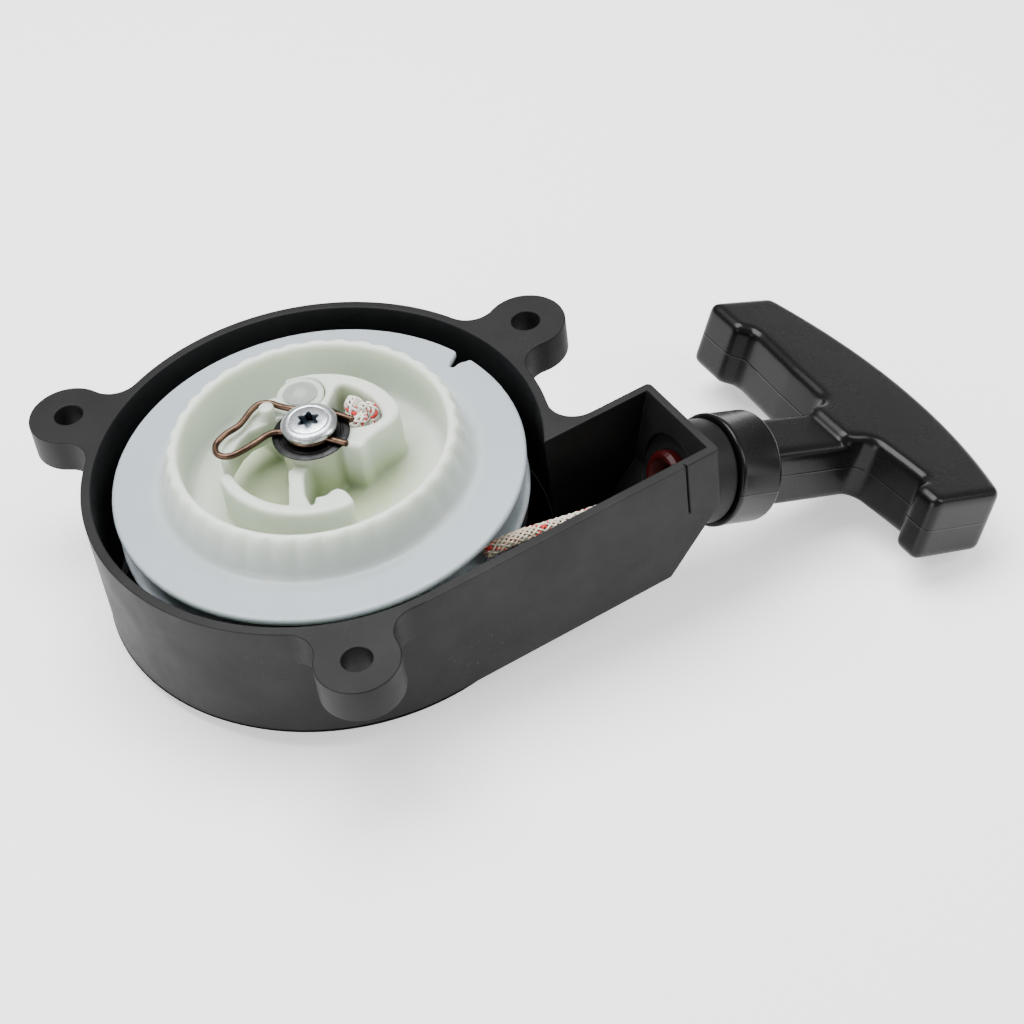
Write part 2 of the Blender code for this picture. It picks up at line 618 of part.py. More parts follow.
def main():
    clear_scene()
    housing_black = plain_material("housing_black", (0.035, 0.036, 0.038), 0.55)
    grip_black = plain_material("grip_black", (0.018, 0.018, 0.019), 0.32)
    rotor_nylon = plain_material("rotor_nylon", (0.80, 0.84, 0.76), 0.42)
    pawl_nylon = plain_material("pawl_nylon", (0.82, 0.84, 0.74), 0.38)
    cover_nylon = plain_material("cover_nylon", (0.05, 0.05, 0.055), 0.5)
    zinc_plate = plain_material("zinc_plate", (0.72, 0.74, 0.76), 0.28, 1.0)
    spring_steel = plain_material("spring_steel", (0.32, 0.33, 0.36), 0.35, 1.0)
    washer_dark = plain_material("washer_dark", (0.03, 0.03, 0.032), 0.4)
    clip_bronze = plain_material("clip_bronze", (0.30, 0.20, 0.12), 0.35, 1.0)
    eyelet_red = plain_material("eyelet_red", (0.55, 0.04, 0.03), 0.4)
    rope_braid = plain_material("rope_braid", (0.80, 0.74, 0.62), 0.8)

    make_housing(housing_black)
    make_spring_cover(cover_nylon)
    make_cover_screws(zinc_plate)
    make_rewind_spring(spring_steel)
    make_axle(washer_dark, zinc_plate)
    make_eyelet(eyelet_red)
    make_rotor(rotor_nylon)
    make_pawl(pawl_nylon)
    make_pivot_pin(pawl_nylon)
    make_clip(clip_bronze)
    make_rope(rope_braid)
    place_all(make_knot("rotor_knot", rope_braid, ROTOR_KNOT_R), Matrix.Translation(ROTOR_KNOT * MM))
    make_grip(grip_black)
    make_grip_inserts(zinc_plate, rope_braid, grip_black)
    set_origin(["pawl"], Vector((*PIVOT, 0.0)))
    set_origin(["grip_body", "grip_washer", "grip_knot", "grip_plug", "rope_tail"], GUIDE)


main()
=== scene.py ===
"""Looks of a recoil starter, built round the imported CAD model.

Everything is in the CAD frame: Z runs along the rotor's axle from the housing's flat back, and X runs
along the rope arm. Shapes are given in millimetres, and MM turns them into metres. Textures are in metres.
"""

import math

import bmesh
import bpy
from mathutils import Matrix, Vector


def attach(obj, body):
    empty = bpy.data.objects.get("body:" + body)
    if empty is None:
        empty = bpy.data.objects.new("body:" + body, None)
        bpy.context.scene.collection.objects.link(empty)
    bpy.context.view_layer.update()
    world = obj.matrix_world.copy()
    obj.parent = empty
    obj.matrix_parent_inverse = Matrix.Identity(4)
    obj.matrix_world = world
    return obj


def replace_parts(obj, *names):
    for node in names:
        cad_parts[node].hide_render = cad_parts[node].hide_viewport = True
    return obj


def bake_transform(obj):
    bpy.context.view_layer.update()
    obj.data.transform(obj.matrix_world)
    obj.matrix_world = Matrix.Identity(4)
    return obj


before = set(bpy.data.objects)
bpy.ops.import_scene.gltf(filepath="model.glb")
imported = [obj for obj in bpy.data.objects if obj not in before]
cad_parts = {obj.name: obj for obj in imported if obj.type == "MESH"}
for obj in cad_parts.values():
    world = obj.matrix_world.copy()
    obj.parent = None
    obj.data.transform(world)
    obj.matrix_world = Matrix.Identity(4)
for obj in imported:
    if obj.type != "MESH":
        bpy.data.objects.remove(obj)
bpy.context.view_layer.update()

MM = 0.001
FINE = 144
ABOVE = 45.0

# Housing
DEPTH = 32.0
CUP_R = 50.15
WALL = 2.15
ARM_FAR_Y = -24.1
ARM_END_X = 68.1
ARM_FILLET = 6.0
LUG_ANGLES = (9.2, 129.2, 249.2)
LUG_PITCH_R = 58.7
LUG_END_R = 8.8
LUG_DEPTH = 8.2
LUG_FILLET = 6.0
LUG_HOLE_R = 3.1
POST_R = 4.6
POST_BORE_R = 2.3
POST_TOP = 38.3
CHAMBER_R = 33.5
CHAMBER_WALL = 2.0
CHAMBER_TOP = 13.2
COVER_SCREW_R = 39.5
COVER_SCREW_ANGLES = (40.0, 160.0, 280.0)

# Rope guide
GUIDE = Vector((68.0, -37.8, 15.7))
GUIDE_PITCH = math.radians(24.0)
NECK_R = 11.3
NECK_END = 4.3
GUIDE_BORE_R = 2.6

# Rotor
BORE_R = 4.95
FLANGE_R = 44.1
FLANGE_LOW = 19.6
FLANGE_TOP = 29.3
RING_TOP = 38.4
WELL_FLOOR = 26.3
LEDGE_TOP = 31.9
RIBS = 36
RIB_DEPTH = 0.8
PIVOT = (4.2, 12.9)
EYE_R = 5.1
PAWL_LOW = 32.2
PAWL_TOP = 38.2
PIN_R = 1.55
PEG = (-4.7, 10.6)
PEG_R = 1.6
PEG_TOP = 41.4

# Axle screw and clip
HEAD_R = 5.9
HEAD_LOW = 41.0
HEAD_TOP = 42.7
SOCKET_FLOOR = 40.6
CLIP_Z = 39.95
CLIP_WIRE_R = 0.7
CLIP_HUG_R = 4.7

# Rope
WRAP_R = 37.7
COIL_TURNS = 3.05
COIL_MIDDLE_R = 34.9
PULL = 640.0
BRAID_PITCH = 13.0
WHITE = (0.82, 0.79, 0.73)
TAN = (0.62, 0.52, 0.38)
RED = (0.62, 0.02, 0.02)

# Grip
COLLAR_R = 12.3
COLLAR_START = 4.6
COLLAR_END = 16.0
BAR_LOW = -6.8
BAR_HIGH = 9.4
BAR_FAR = 51.2
BAR_NEAR = -32.7
BAR_MIDDLE = 9.25
BAR_CROWN = 67.6
END_BLOCK = 40.6
STEM_HALF = 7.2
ROPE_WAY_R = 2.1
PARTING_W = 1.3


# ---------------------------------------------------------------- shape helpers


def finish_mesh(name, data, sharp=40.0):
    """Turns a bmesh in millimetres into an object with smooth faces and sharp corners."""
    bmesh.ops.recalc_face_normals(data, faces=data.faces)
    bmesh.ops.scale(data, vec=(MM, MM, MM), verts=data.verts)
    mesh = bpy.data.meshes.new(name)
    data.to_mesh(mesh)
    data.free()
    mesh.shade_smooth()
    mesh.set_sharp_from_angle(angle=math.radians(sharp))
    obj = bpy.data.objects.new(name, mesh)
    bpy.context.scene.collection.objects.link(obj)
    return obj


def lathe(name, profile, steps=FINE, waves=None):
    """Turns a closed outline of (radius, height) points; waves() may push a point's radius out."""
    data = bmesh.new()
    rings = []
    for radius, height in profile:
        if radius < 1e-6:
            rings.append([data.verts.new((0.0, 0.0, height))])
            continue
        ring = []
        for step in range(steps):
            angle = 2 * math.pi * step / steps
            out = radius + (waves(radius, height, angle) if waves else 0.0)
            ring.append(data.verts.new((out * math.cos(angle), out * math.sin(angle), height)))
        rings.append(ring)
    for low, high in zip(rings, rings[1:] + rings[:1]):
        if len(low) == 1 and len(high) == 1:
            continue
        for step in range(steps):
            after = (step + 1) % steps
            under = [low[step % len(low)], low[after % len(low)]]
            over = [high[after % len(high)], high[step % len(high)]]
            data.faces.new(list(dict.fromkeys(under + over)))
    return finish_mesh(name, data)


def prism(name, outline, low, high):
    data = bmesh.new()
    face = data.faces.new([data.verts.new((x, y, low)) for x, y in outline])
    raised = bmesh.ops.extrude_face_region(data, geom=[face])["geom"]
    top = [item for item in raised if isinstance(item, bmesh.types.BMVert)]
    bmesh.ops.translate(data, vec=(0.0, 0.0, high - low), verts=top)
    return finish_mesh(name, data)


def box(name, low, high):
    outline = [(low[0], low[1]), (high[0], low[1]), (high[0], high[1]), (low[0], high[1])]
    return prism(name, outline, low[2], high[2])


def move(obj, matrix):
    obj.data.transform(matrix)
    return obj


def shift(obj, x, y, z=0.0):
    return move(obj, Matrix.Translation((x * MM, y * MM, z * MM)))


def cylinder(name, radius, low, high, at=(0.0, 0.0), steps=48):
    return shift(lathe(name, [(0.0, low), (radius, low), (radius, high), (0.0, high)], steps), *at)


def side_prism(name, outline, low_y, high_y):
    """Raises an outline of (x, z) points along Y."""
    flat = prism(name, [(x, -z) for x, z in outline], low_y, high_y)
    return move(flat, Matrix.Rotation(-math.pi / 2, 4, "X"))


def polar(radius, degrees):
    angle = math.radians(degrees)
    return (radius * math.cos(angle), radius * math.sin(angle))


def arc(centre, radius, start, end, steps):
    turns = [start + (end - start) * step / steps for step in range(steps + 1)]
    return [(centre[0] + x, centre[1] + y) for x, y in (polar(radius, turn) for turn in turns)]


def guide_frame():
    """Axes of the rope guide: local Z runs out of the neck, X is the part's +Y, and Y is up across it."""
    out = Vector((math.cos(GUIDE_PITCH), 0.0, -math.sin(GUIDE_PITCH)))
    side = Vector((0.0, 1.0, 0.0))
    turn = Matrix((side, out.cross(side), out)).transposed().to_4x4()
    return Matrix.Translation(GUIDE * MM) @ turn


def on_guide(obj):
    return move(obj, guide_frame())


def apply_modifiers(obj):
    graph = bpy.context.evaluated_depsgraph_get()
    mesh = bpy.data.meshes.new_from_object(obj.evaluated_get(graph))
    obj.modifiers.clear()
    obj.data = mesh
    return obj


def combine(obj, operation, helpers):
    """Joins or cuts all the helpers at once, then throws them away."""
    group = bpy.data.collections.new("helpers")
    for helper in helpers:
        group.objects.link(helper)
    modifier = obj.modifiers.new("boolean", "BOOLEAN")
    modifier.operation = operation
    modifier.operand_type = "COLLECTION"
    modifier.collection = group
    modifier.solver = "EXACT"
    apply_modifiers(obj)
    for helper in helpers:
        bpy.data.objects.remove(helper, do_unlink=True)
    bpy.data.collections.remove(group)
    return obj


def round_edges(obj, width, segments=2, angle=35.0, clamp=False):
    bevel = obj.modifiers.new("rounded_edges", "BEVEL")
    bevel.width = width * MM
    bevel.segments = segments
    bevel.limit_method = "ANGLE"
    bevel.angle_limit = math.radians(angle)
    bevel.use_clamp_overlap = clamp
    return apply_modifiers(obj)


def weigh_normals(obj):
    """Keeps flat faces flat in the shading, beside their rounded edges."""
    weigh = obj.modifiers.new("flat_faces", "WEIGHTED_NORMAL")
    weigh.keep_sharp = True
    weigh.weight = 80
    return apply_modifiers(obj)


def clean(obj, sharp=40.0):
    """Merges the doubles that a Boolean leaves, joins flat faces and shades round ones smooth."""
    data = bmesh.new()
    data.from_mesh(obj.data)
    bmesh.ops.remove_doubles(data, verts=data.verts, dist=0.00002)
    bmesh.ops.dissolve_limit(data, angle_limit=math.radians(0.3), verts=data.verts, edges=data.edges)
    data.to_mesh(obj.data)
    data.free()
    return smooth(obj, sharp)


def smooth(obj, sharp=40.0):
    obj.data.shade_smooth()
    obj.data.set_sharp_from_angle(angle=math.radians(sharp))
    return obj


def remeshed(obj, voxel, rounds):
    """Melts the joined shapes into one moulded skin with soft edges and fillets."""
    remesh = obj.modifiers.new("skin", "REMESH")
    remesh.mode = "VOXEL"
    remesh.voxel_size = voxel * MM
    remesh.use_smooth_shade = True
    soften = obj.modifiers.new("soften", "SMOOTH")
    soften.factor = 0.5
    soften.iterations = rounds
    apply_modifiers(obj)
    obj.data.shade_smooth()
    return obj


def smooth_path(points, per_span):
    ends = [points[0] * 2 - points[1], *points, points[-1] * 2 - points[-2]]
    path = []
    for before, start, end, after in zip(ends, ends[1:], ends[2:], ends[3:]):
        for step in range(per_span):
            t = step / per_span
            bend = (2 * before - 5 * start + 4 * end - after) * t**2
            twist = (3 * start - before - 3 * end + after) * t**3
            path.append((2 * start + (end - before) * t + bend + twist) / 2)
    return [*path, points[-1]]


# ---------------------------------------------------------------- materials


class Paint:
    """A short way to build one node material."""

    def __init__(self, name):
        self.material = bpy.data.materials.new(name)
        self.material.use_nodes = True
        self.nodes = self.material.node_tree.nodes
        self.links = self.material.node_tree.links
        self.shader = self.nodes["Principled BSDF"]
        self.place = self.nodes.new("ShaderNodeTexCoord").outputs["Object"]

    def set(self, **values):
        for name, value in values.items():
            title = name.replace("_", " ").title().replace("Ior", "IOR")
            self.shader.inputs[title].default_value = value
        return self

    def noise(self, scale, detail=4.0, rough=0.5, stretch=None):
        node = self.nodes.new("ShaderNodeTexNoise")
        node.inputs["Scale"].default_value = scale
        node.inputs["Detail"].default_value = detail
        node.inputs["Roughness"].default_value = rough
        source = self.place
        if stretch:
            mapping = self.nodes.new("ShaderNodeMapping")
            mapping.inputs["Scale"].default_value = stretch
            self.links.new(source, mapping.inputs["Vector"])
            source = mapping.outputs["Vector"]
        self.links.new(source, node.inputs["Vector"])
        return node.outputs["Fac"]

    def ramp(self, source, stops):
        node = self.nodes.new("ShaderNodeValToRGB")
        points = node.color_ramp.elements
        while len(points) < len(stops):
            points.new(0.5)
        for point, (at, color) in zip(points, stops):
            point.position = at
            point.color = color if len(color) == 4 else (*color, 1.0)
        self.links.new(source, node.inputs["Fac"])
        return node.outputs["Color"]

    def mix(self, share, first, second, kind="MIX"):
        node = self.nodes.new("ShaderNodeMix")
        node.data_type = "RGBA"
        node.blend_type = kind
        for slot, value in (("Factor", share), ("A", first), ("B", second)):
            index = {"Factor": 0, "A": 6, "B": 7}[slot]
            self.feed(value, node.inputs[index])
        return node.outputs[2]

    def math(self, kind, first, second=0.0, clamp=False):
        node = self.nodes.new("ShaderNodeMath")
        node.operation = kind
        node.use_clamp = clamp
        self.feed(first, node.inputs[0])
        self.feed(second, node.inputs[1])
        return node.outputs[0]

    def feed(self, value, socket):
        if isinstance(value, bpy.types.NodeSocket):
            self.links.new(value, socket)
        elif isinstance(value, tuple) and len(value) == 3:
            socket.default_value = (*value, 1.0)
        else:
            socket.default_value = value

    def split(self):
        node = self.nodes.new("ShaderNodeSeparateXYZ")
        self.links.new(self.place, node.inputs[0])
        return node.outputs

    def axle_distance(self):
        """Distance from the rotor's axis, in metres."""
        x, y, _ = self.split()
        return self.math("SQRT", self.math("ADD", self.times(x, x), self.times(y, y)))

    def fade(self, source, start, width):
        """0 up to the start, then rising to 1 over the width, which may be negative."""
        return self.math("DIVIDE", self.math("SUBTRACT", source, start), width, clamp=True)

    def times(self, first, second):
        return self.math("MULTIPLY", first, second)

    def uneven(self, base, change, *noise):
        """A value that wanders up from its base by as much as the change."""
        return self.math("ADD", self.times(self.noise(*noise), change), base)

    def parting_line(self):
        """A thin raised line where the grip's two mould halves met."""
        x, _, z = self.split()
        across = Vector((math.sin(GUIDE_PITCH), 0.0, math.cos(GUIDE_PITCH)))
        level = across.dot(GUIDE * MM) + PARTING_W * MM
        height = self.math("ADD", self.times(x, across.x), self.times(z, across.z))
        away = self.math("ABSOLUTE", self.math("SUBTRACT", height, level))
        return self.math("SUBTRACT", 1.0, self.math("DIVIDE", away, 0.00022, clamp=True))

    def bump(self, height, strength, distance=0.0002, before=None):
        node = self.nodes.new("ShaderNodeBump")
        node.inputs["Strength"].default_value = strength
        node.inputs["Distance"].default_value = distance
        self.links.new(height, node.inputs["Height"])
        if before:
            self.links.new(before, node.inputs["Normal"])
        self.links.new(node.outputs["Normal"], self.shader.inputs["Normal"])
        return node.outputs["Normal"]

    def link(self, value, name):
        self.links.new(value, self.shader.inputs[name])
        return self


def moulded_plastic(name, dark, light, roughness, gloss_change, grain, shine, scuffs=0.25, parting=False):
    """Moulded plastic: cloudy flow marks, pale dust, a fine grain and, if asked for, the parting line."""
    paint = Paint(name)
    clouds = paint.ramp(paint.noise(45.0, 5.0, 0.6), [(0.3, dark), (0.75, light)])
    scuff = paint.ramp(paint.noise(1100.0, 3.0, 0.75), [(0.62, (0, 0, 0)), (0.74, (1, 1, 1))])
    patch = paint.ramp(paint.noise(60.0, 3.0, 0.55), [(0.5, (0, 0, 0)), (0.7, (1, 1, 1))])
    worn = paint.times(paint.times(scuff, patch), scuffs)
    paint.link(paint.mix(worn, clouds, tuple(c * 3.0 + 0.03 for c in light)), "Base Color")
    paint.link(paint.uneven(roughness, gloss_change, 70.0, 4.0, 0.6), "Roughness")
    normal = paint.bump(paint.noise(1500.0, 2.0, 0.5), grain, 0.00006)
    normal = paint.bump(paint.noise(110.0, 3.0, 0.5), grain * 0.6, 0.0003, normal)
    if parting:
        paint.bump(paint.parting_line(), 0.35, 0.00025, normal)
    paint.set(ior=1.5, specular_ior_level=shine)
    return paint.material


def nylon(name, thin, thick, shade_tint):
    """Natural nylon: light goes into it, and thick places look yellow-green; painted shade darkens the
    rotor's recess and the tube under the washer to olive green.
    """
    paint = Paint(name)
    reach = paint.axle_distance()
    base = paint.mix(paint.fade(reach, 0.030, 0.006), thick, thin)
    height = paint.split()[2]
    # Painted shade: the recess's walls and floor, and the pawl lying there, darken towards the olive
    # shade_tint.
    well_shade = paint.times(paint.fade(height, 0.0365, -0.011), paint.fade(reach, 0.026, -0.010))
    base = paint.mix(paint.times(well_shade, 0.85), base, shade_tint)
    # Painted shade on the tube under the washer, towards the same olive shade_tint.
    hub_shade = paint.times(paint.fade(reach, 0.0078, -0.0008), paint.fade(height, 0.0379, -0.0015))
    base = paint.mix(paint.times(hub_shade, 0.6), base, shade_tint)
    cloudy = paint.ramp(paint.noise(70.0, 4.0, 0.55), [(0.3, (0.93, 0.94, 0.93)), (0.7, (1.0, 1.0, 1.0))])
    base = paint.mix(0.8, base, cloudy, "MULTIPLY")
    speck = paint.ramp(paint.noise(800.0, 1.0, 0.5), [(0.77, (1, 1, 1)), (0.80, (0.6, 0.56, 0.45))])
    base = paint.mix(0.45, base, speck, "MULTIPLY")
    paint.link(base, "Base Color")
    paint.set(subsurface_weight=0.85, subsurface_scale=0.0045, ior=1.53)
    paint.shader.inputs["Subsurface Radius"].default_value = (1.0, 1.0, 0.8)
    paint.link(paint.uneven(0.33, 0.16, 160.0, 3.0, 0.6), "Roughness")
    first = paint.bump(paint.noise(220.0, 3.0, 0.5), 0.10, 0.0004)
    paint.bump(paint.noise(2600.0, 2.0, 0.5), 0.10, 0.00005, first)
    return paint.material


def metal(name, dark, light, roughness, brush=None, strength=0.15):
    paint = Paint(name)
    paint.set(metallic=1.0)
    paint.link(paint.ramp(paint.noise(600.0, 5.0, 0.65), [(0.3, dark), (0.7, light)]), "Base Color")
    paint.link(paint.uneven(roughness, 0.2, 900.0, 4.0, 0.6), "Roughness")
    paint.bump(paint.noise(1800.0, 3.0, 0.6, brush), strength, 0.00005)
    return paint.material


def turned_zinc(name, bright, dull, socket):
    """Bright zinc with rings from turning and small dull marks; painted shade darkens the axle screw's
    socket.
    """
    paint = Paint(name)
    paint.set(metallic=1.0)
    marks = paint.ramp(paint.noise(1400.0, 4.0, 0.7), [(0.40, dull), (0.58, bright)])
    # Painted shade in the axle screw's socket: the socket colour within its radius and below the head's top.
    inside = paint.fade(paint.axle_distance(), 0.0027, -0.0000675)
    depth = paint.fade(paint.split()[2], 0.0425, -0.0006)
    paint.link(paint.mix(paint.times(inside, depth), marks, socket), "Base Color")
    paint.link(paint.uneven(0.2, 0.18, 500.0, 3.0, 0.6), "Roughness")
    rings = paint.math("SINE", paint.times(paint.axle_distance(), 16000.0))
    first = paint.bump(rings, 0.12, 0.00003)
    paint.bump(paint.noise(2200.0, 3.0, 0.6), 0.3, 0.00004, first)
    return paint.material


def painted_fibre(name):
    """Braided yarn: the strand's colour from the mesh, random grime, and fine fibres along it."""
    paint = Paint(name)
    color = paint.nodes.new("ShaderNodeAttribute")
    color.attribute_name = "yarn"
    tan_toning = paint.ramp(paint.noise(350.0, 4.0, 0.7), [(0.3, (0.72, 0.66, 0.55)), (0.65, (1.0, 1.0, 1.0))])
    paint.link(paint.mix(0.55, color.outputs["Color"], tan_toning, "MULTIPLY"), "Base Color")
    paint.set(roughness=0.72, sheen_weight=0.35, sheen_roughness=0.4)
    paint.set(subsurface_weight=0.2, subsurface_scale=0.0008)
    paint.bump(paint.noise(4200.0, 3.0, 0.7), 0.5, 0.00006)
    return paint.material


# ---------------------------------------------------------------- housing


def lug_outline(angle):
    """A round end with a concave fillet on each side, and the turn where the fillets meet the cup."""
    side = CUP_R + LUG_FILLET
    reach = LUG_END_R + LUG_FILLET
    spread = math.acos((LUG_PITCH_R**2 + side**2 - reach**2) / (2 * LUG_PITCH_R * side))
    centre = (side * math.cos(spread), side * math.sin(spread))
    end_turn = math.degrees(math.atan2(centre[1], centre[0] - LUG_PITCH_R))
    wall_turn = math.degrees(spread)
    half = arc((LUG_PITCH_R, 0.0), LUG_END_R, 0.0, end_turn, 18)
    half += arc(centre, LUG_FILLET, end_turn - 180.0, wall_turn - 180.0, 9)[1:-1]
    outline = [(x, -y) for x, y in reversed(half[1:])] + half
    turn = Matrix.Rotation(math.radians(angle), 2)
    return [tuple(turn @ Vector(point)) for point in outline], wall_turn


def housing_stretches():
    """The outline round cup and arm, as pairs: the plain stretch, and what stands there near the rim."""
    centre_y = ARM_FAR_Y + ARM_FILLET
    centre_x = math.sqrt((CUP_R + ARM_FILLET) ** 2 - centre_y**2)
    tangent = math.degrees(math.atan2(centre_y, centre_x))
    stretches, here = [], tangent
    for angle in LUG_ANGLES:
        lug, spread = lug_outline(angle)
        plain = arc((0.0, 0.0), CUP_R, here, angle - spread, max(6, int((angle - spread - here) / 2)))
        stretches.append((plain, plain))
        stretches.append((arc((0.0, 0.0), CUP_R, angle - spread, angle + spread, 14)[1:-1], lug))
        here = angle + spread
    corner = 1.2
    rest = arc((0.0, 0.0), CUP_R, here, 270.0, 6)
    rest += arc((ARM_END_X - corner, corner - CUP_R), corner, -90.0, 0.0, 6)
    rest += arc((ARM_END_X - corner, ARM_FAR_Y - corner), corner, 0.0, 90.0, 6)
    rest += arc((centre_x, centre_y), ARM_FILLET, -90.0, tangent - 180.0, 10)[:-1]
    return [*stretches, (rest, rest)]


def make_shell():
    """Cup, arm and lugs in one skin; the lugs' undersides are marked for a wide round edge."""
    data = bmesh.new()
    marks = data.edges.layers.float.new("bevel_weight_edge")
    ledge = DEPTH - LUG_DEPTH
    plain, low, high, lugs = [], [], [], []
    for under, over in housing_stretches():
        plain.append([data.verts.new((x, y, 2.5)) for x, y in under])
        low.append([data.verts.new((x, y, ledge)) for x, y in under])
        lugs.append(low[-1] if under is over else [data.verts.new((x, y, ledge)) for x, y in over])
        high.append([data.verts.new((x, y, DEPTH)) for x, y in over])
    for index, (inner, outer) in enumerate(zip(low, lugs)):
        if inner is outer:
            continue
        start, end = low[index - 1][-1], low[index + 1][0]
        data.faces.new([start, *outer, end, *reversed(inner)])
        edge = [start, *outer, end]
        for first, second in zip(edge, edge[1:]):
            data.edges.get((first, second))[marks] = 1.0
    for under, over in ((plain, low), (lugs, high)):
        under = [vert for stretch in under for vert in stretch]
        over = [vert for stretch in over for vert in stretch]
        for step in range(len(under)):
            data.faces.new((under[step - 1], under[step], over[step], over[step - 1]))
    data.faces.new([vert for stretch in plain for vert in stretch])
    data.faces.new([vert for stretch in high for vert in stretch])
    shell = finish_mesh("housing_shell", data)
    soften = shell.modifiers.new("lug_undersides", "BEVEL")
    soften.width = 1.1 * MM
    soften.segments = 4
    soften.limit_method = "WEIGHT"
    return apply_modifiers(shell)


def make_housing(material):
    housing = make_shell()
    dish = [(0.0, 0.0), *arc((CUP_R - 3.35, 3.3), 3.3, -90.0, 0.0, 8), (CUP_R - 0.05, 6.0), (0.0, 6.0)]
    combine(housing, "UNION", [lathe("dish", dish)])

    slope = side_prism("slope", [(54.0, 2.0), (54.0, 2.5), (72.0, 21.3), (72.0, 2.0)], -52.0, -22.0)
    room = [(0.0, 5.0), (52.8, 5.0), (62.2, 14.8), (62.2, 16.0), (66.8, DEPTH + 2.0), (0.0, DEPTH + 2.0)]
    cuts = [slope, cylinder("cup_room", CUP_R - WALL, 2.5, ABOVE, steps=FINE)]
    cuts.append(side_prism("arm_room", room, -47.9, -26.0))
    cuts.append(on_guide(cylinder("guide_room", NECK_R - 2.3, -12.0, 1.5)))
    cuts.append(box("slit", (59.55, -52.0, 18.4), (59.95, -49.4, 40.0)))
    for angle in LUG_ANGLES:
        cuts.append(cylinder("lug_hole", LUG_HOLE_R, 10.0, ABOVE, polar(LUG_PITCH_R, angle)))
    combine(housing, "DIFFERENCE", cuts)

    outside = CHAMBER_R + CHAMBER_WALL
    wall = [(CHAMBER_R, 1.5), (outside, 1.5), (outside, CHAMBER_TOP), (CHAMBER_R, CHAMBER_TOP)]
    post = [(0.0, 1.5), (POST_R, 1.5), (POST_R, POST_TOP), (POST_BORE_R, POST_TOP)]
    post += [(POST_BORE_R, 21.0), (0.0, 21.0)]
    fittings = [lathe("chamber", wall, 72), lathe("post", post, 48)]
    for angle in COVER_SCREW_ANGLES:
        turn = Matrix.Rotation(math.radians(angle), 4, "Z")
        bored = [(0.0, 1.5), (3.6, 1.5), (3.6, 13.1), (1.4, 13.1), (1.4, 5.0), (0.0, 5.0)]
        fittings.append(move(shift(lathe("boss", bored, 24), COVER_SCREW_R, 0.0), turn))
        fittings.append(move(box("bridge", (34.5, -1.2, 1.2), (COVER_SCREW_R - 2.0, 1.2, 12.2)), turn))
    guide = [(3.9, -5.0), (NECK_R, -5.0), (NECK_R, NECK_END - 0.5), (NECK_R - 0.5, NECK_END)]
    guide += [(8.8, NECK_END), (8.8, 6.5), (GUIDE_BORE_R, 6.5), (GUIDE_BORE_R, -0.8), (3.9, -0.8)]
    fittings.append(on_guide(lathe("neck", guide, 72)))
    combine(housing, "UNION", fittings)
    round_edges(clean(housing), 0.32, 2, 38.0)
    weigh_normals(smooth(housing, 45.0))
    housing.data.materials.append(material)
    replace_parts(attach(housing, "housing"), "starter_housing")


# ---------------------------------------------------------------- rotor


def rotor_waves(radius, height, angle):
    """Shallow ribs round the ring's outer slope, strongest at its top."""
    if not (29.0 < radius < 33.5 and height > FLANGE_TOP + 0.05):
        return 0.0
    share = (height - FLANGE_TOP) / (RING_TOP - FLANGE_TOP)
    return RIB_DEPTH * share * (abs(math.cos(RIBS * angle / 2)) - 0.62)


